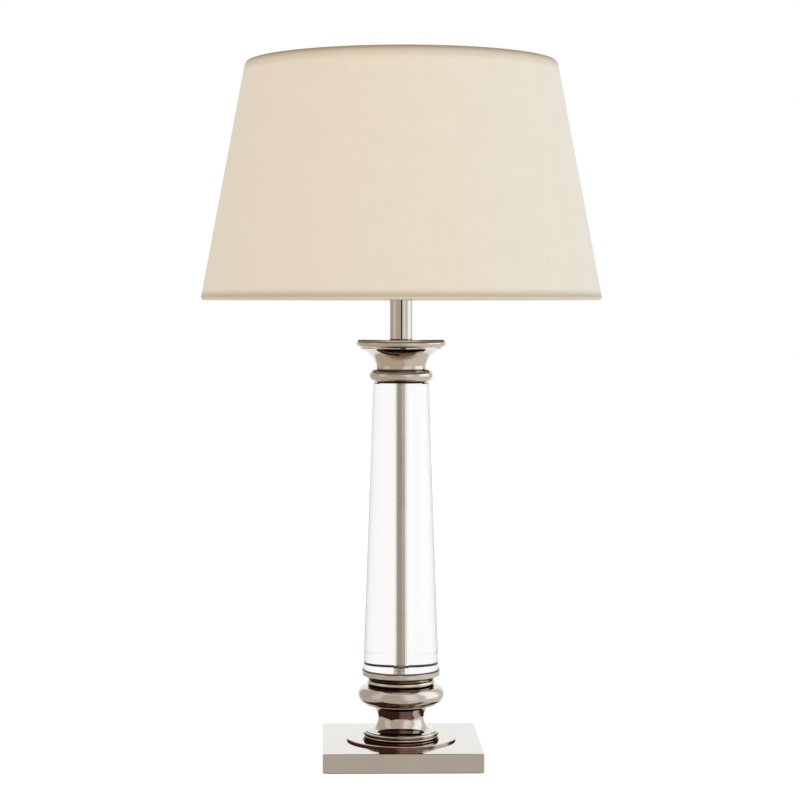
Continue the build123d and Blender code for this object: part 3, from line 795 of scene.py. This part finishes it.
def stop(degrees, *colour):
    return (degrees / 360 + 0.5, scaled(*colour))


def panel(under, centre, half, soft, *colour):
    """A soft-edged lit wall panel, by the degrees of its bearing, half width and soft edge."""
    offset = w.math("ABSOLUTE", w.math("SUBTRACT", bearing, math.radians(centre)))
    share = w.fade(offset, math.radians(half), math.radians(half + soft), 1.0, 0.0)
    return w.mix(share, under, plain(*colour))


def back_wall(under, start, end, *colour):
    share = w.fade(off_front, math.radians(start), math.radians(end))
    return w.mix(share, under, plain(*colour))


# The ground as polished metal sees it, darkest straight down.
ground = w.mix(w.fade(dz, -0.30, -0.60), plain(0.58, 0.50, 0.42), plain(0.59, 0.46, 0.335))
ground = panel(ground, 82, 52, 24, 0.75, 0.67, 0.57)
ground = back_wall(ground, 140, 156, 1.03, 1.01, 0.96)
ground = w.mix(w.fade(dz, -0.80, -0.98), ground, plain(0.30, 0.20, 0.14))

# The room: dim and warm in front, white behind, a window on the right.
room = panel(plain(0.55, 0.46, 0.36), -72, 5, 20, 0.73, 0.67, 0.59)
room = panel(room, 75, 58, 30, 0.73, 0.66, 0.57)
room = panel(room, 28, 7, 18, 0.92, 0.86, 0.78)
room = panel(room, 93, 13, 22, 1.28, 1.26, 1.23)
room = back_wall(room, 138, 158, 1.045, 1.04, 1.02)
room = w.mix(w.fade(dz, -0.04, -0.21), room, ground)
room = w.mix(w.fade(dz, 0.75, 0.95), room, plain(0.80, 0.73, 0.64))

# A dark stand in front, low and narrow, which the candle tube mirrors as a thin line.
stand_width = w.times(w.fade(bearing, -0.10, -0.03), w.fade(bearing, 0.17, 0.24, 1.0, 0.0))
stand_height = w.times(w.fade(dz, -0.026, -0.020), w.fade(dz, 0.005, 0.011, 1.0, 0.0))
room = w.mix(w.times(stand_width, stand_height), room, plain(0.03, 0.02, 0.015))

# What comes back after a second mirror: deep brown, but for the window and the white back wall.
echo = panel(plain(0.075, 0.028, 0.014), 28, 24, 22, 0.28, 0.16, 0.11)
echo = panel(echo, 93, 14, 16, 0.82, 0.69, 0.57)
echo = back_wall(echo, 146, 166, 1.15, 1.08, 1.0)

# A ray that goes through glass counts one glossy bounce for that, and one that has gone through
# four faces of the crystal has met the pipe in its bore on the way.
rays = w.node("ShaderNodeLightPath").outputs
in_glass = w.above(rays["Transmission Depth"], 0.5)
past_pipe = w.above(rays["Transmission Depth"], 3.5)
bounces = w.math("SUBTRACT", rays["Glossy Depth"], in_glass)
mirror = w.above(w.add(bounces, past_pipe), 0.5)
echo = w.mix(w.above(bounces, 2.5), echo, plain(0.012, 0.006, 0.004))
seen_in_metal = w.mix(w.above(bounces, 1.5), room, echo)

# The soft light that falls on cloth: brightest at eye level, cooler from the right.
dome = w.ramp(turn_share, [
    stop(-180, 1.35, 1.35, 1.34),
    stop(-90, 1.28, 1.29, 1.30),
    stop(-30, 1.58, 1.54, 1.50),
    stop(30, 1.32, 1.32, 1.32),
    stop(75, 1.62, 1.84, 2.12),
    stop(115, 1.42, 1.55, 1.75),
    stop(180, 1.35, 1.35, 1.34),
])
level_share = w.times(w.fade(dz, -0.75, -0.15, 0.45, 1.0), w.fade(dz, 0.20, 0.80, 1.0, 0.50))
dome = w.mix(level_share, (0, 0, 0, 1), dome)

# Straight through the crystal: the white behind, a little greyer to the front.
sight = w.mix(w.fade(dy, -0.1, 0.55), plain(0.70, 0.69, 0.68), plain(1, 1, 1))
light = w.mix(mirror, w.mix(in_glass, dome, sight), seen_in_metal)
surround = w.node("ShaderNodeBackground", {"Color": light, "Strength": BRIGHT})
backdrop = w.node("ShaderNodeBackground", {"Color": (1, 1, 1, 1), "Strength": 1.0})
mixed = w.node("ShaderNodeMixShader", {0: rays["Is Camera Ray"], 1: surround, 2: backdrop})
w.node("ShaderNodeOutputWorld", {"Surface": mixed})

LAMP_MIDDLE = Vector((0, 0, 0.6))


def soft_light(name, place, power, colour=(1, 1, 1)):
    """A large lamp aimed at the shade, which no mirror or glass shows."""
    data = bpy.data.lights.new(name, "AREA")
    data.shape = "RECTANGLE"
    data.size, data.size_y = 1.4, 1.8
    data.energy = power
    data.color = colour
    made = bpy.data.objects.new(name, data)
    made.location = place
    made.rotation_euler = (LAMP_MIDDLE - Vector(place)).to_track_quat("-Z", "Y").to_euler()
    made.visible_camera = False
    made.visible_glossy = False
    made.visible_transmission = False
    scene.collection.objects.link(made)


soft_light("key_right", (2.2, -1.9, 1.0), 8)
soft_light("fill_left", (-2.2, -2.2, 1.0), 4, (1.0, 0.97, 0.93))


def pale_floor():
    """A wide floor, pale enough to fade into the white behind it."""
    mesh = bpy.data.meshes.new("floor")
    bm = bmesh.new()
    bmesh.ops.create_grid(bm, x_segments=1, y_segments=1, size=6.0)
    bm.to_mesh(mesh)
    bm.free()
    floor = bpy.data.objects.new("floor", mesh)
    scene.collection.objects.link(floor)
    made, t, place = material("floor")
    colour = t.mix(t.noise(place, 9.0), (0.30, 0.30, 0.30, 1), (0.32, 0.32, 0.32, 1))
    paint = t.node("ShaderNodeBsdfDiffuse", {"Color": colour})
    glow = t.node("ShaderNodeEmission", {"Color": (1, 1, 1, 1), "Strength": 0.86})
    t.finish(t.node("ShaderNodeAddShader", {0: paint, 1: glow}))
    mesh.materials.append(made)
    floor.visible_glossy = False
    floor.visible_transmission = False
    floor.visible_diffuse = False


pale_floor()
